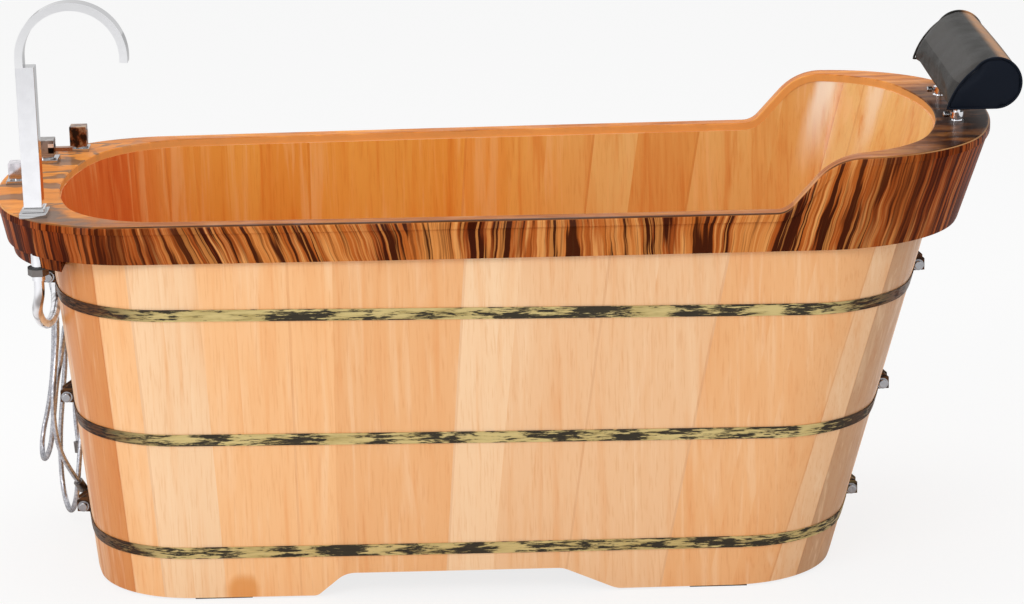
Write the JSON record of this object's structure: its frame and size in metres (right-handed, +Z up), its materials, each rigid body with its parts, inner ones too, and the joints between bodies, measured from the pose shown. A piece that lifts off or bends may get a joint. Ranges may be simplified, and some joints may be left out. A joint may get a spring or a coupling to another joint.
{
  "type": "freestanding wooden bathtub",
  "caption": "Freestanding bathtub of tapered wooden staves held by metal hoops, with a raised head end, a deck-mounted gooseneck tap set and a padded headrest.",
  "frame": {"origin": "on the floor under the middle of the whole length and width", "axes": "+X along the tub toward the head end with the headrest, +Y toward the far side, +Z up"},
  "size_m": [1.5779, 0.6616, 0.926],
  "materials": {
    "aged_brass": "aged",
    "brass": "satin",
    "bronze": "satin",
    "chrome": "polished",
    "dark_metal": "satin",
    "floor_wood": "satin",
    "hose_steel": "satin",
    "lacquered_wood": "gloss",
    "leather": "satin",
    "painted_steel": "matt",
    "rubber": "matt",
    "stave_wood": "satin",
    "steel": "satin",
    "striped_wood": "satin"
  },
  "bodies": {
    "tub": {"band_back": "striped_wood", "band_foot_end": "striped_wood", "band_front": "striped_wood", "band_head_end": "striped_wood", "bottom_hoop_back": "aged_brass", "bottom_hoop_front": "aged_brass", "cold_hose": "hose_steel", "cold_hose_nut": "dark_metal", "coping_back": "lacquered_wood", "coping_front": "lacquered_wood", "diverter_base": "chrome", "floor_bearers": "floor_wood", "floor_boards": "floor_wood", "foot_deck": "lacquered_wood", "foot_pads": "rubber", "guide_nut": "dark_metal", "handset_guide": "chrome", "head_deck": "lacquered_wood", "hoop_bolts": "steel", "hoop_nuts": "steel", "hot_hose": "hose_steel", "hot_hose_nut": "dark_metal", "link_pipe": "chrome", "middle_hoop_back": "aged_brass", "middle_hoop_front": "aged_brass", "mixer_base": "chrome", "mixer_inlets": "dark_metal", "rod_sockets": "chrome", "shower_hose": "hose_steel", "spout_base": "chrome", "staves_back": "stave_wood", "staves_foot_end": "stave_wood", "staves_front": "stave_wood", "staves_head_end": "stave_wood", "tap_ledge": "striped_wood", "tap_nuts": "dark_metal", "tap_washers": "rubber", "top_hoop_back": "aged_brass", "top_hoop_front": "aged_brass", "waste_flange": "chrome", "waste_nut": "brass", "waste_seal": "rubber", "waste_tailpiece": "chrome"},
    "spout": {"spout_column": "chrome", "spout_gooseneck": "chrome"},
    "mixer_cap": {"mixer_cap": "chrome", "mixer_pin": "chrome"},
    "mixer_lever": {"mixer_lever": "bronze"},
    "diverter_knob": {"diverter_knob": "chrome"},
    "hand_shower": {"hand_shower": "chrome"},
    "headrest": {"headrest_cushion": "leather", "headrest_plate": "painted_steel", "headrest_rods": "chrome"},
    "lock_screw_near": {"lock_screw_near": "steel"},
    "lock_screw_far": {"lock_screw_far": "steel"},
    "waste_plug": {"waste_plug": "chrome"}
  },
  "joints": [
    {"name": "spout_swivel", "type": "hinge", "parent": "tub", "child": "spout", "pos_m": [-0.705, -0.222, 0.62], "axis": [0, 0, 1], "range_deg": [-75, 75]},
    {"name": "mixer_turn", "type": "hinge", "parent": "tub", "child": "mixer_cap", "pos_m": [-0.733, 0.145, 0.62], "axis": [0, 0, 1], "range_deg": [-45, 45]},
    {"name": "mixer_lever_tilt", "type": "hinge", "parent": "mixer_cap", "child": "mixer_lever", "pos_m": [-0.725, 0.145, 0.6211], "axis": [0, -1, 0], "range_deg": [0, 25]},
    {"name": "diverter_turn", "type": "hinge", "parent": "tub", "child": "diverter_knob", "pos_m": [-0.758, 0, 0.62], "axis": [0, 0, 1], "range_deg": [0, 90]},
    {"name": "hand_shower_lift", "type": "slide", "parent": "tub", "child": "hand_shower", "axis": [0, 0, 1], "range_m": [0, 0.12]},
    {"name": "headrest_height", "type": "slide", "parent": "tub", "child": "headrest", "axis": [0, 0, 1], "range_m": [0, 0.05]},
    {"name": "lock_screw_near_turn", "type": "hinge", "parent": "tub", "child": "lock_screw_near", "pos_m": [0.68, -0.095, 0.6935], "axis": [1, 0, 0], "continuous": true},
    {"name": "lock_screw_far_turn", "type": "hinge", "parent": "tub", "child": "lock_screw_far", "pos_m": [0.68, 0.095, 0.6935], "axis": [1, 0, 0], "continuous": true},
    {"name": "waste_plug_lift", "type": "slide", "parent": "tub", "child": "waste_plug", "axis": [0, 0, 1], "range_m": [0, 0.008]}
  ]
}
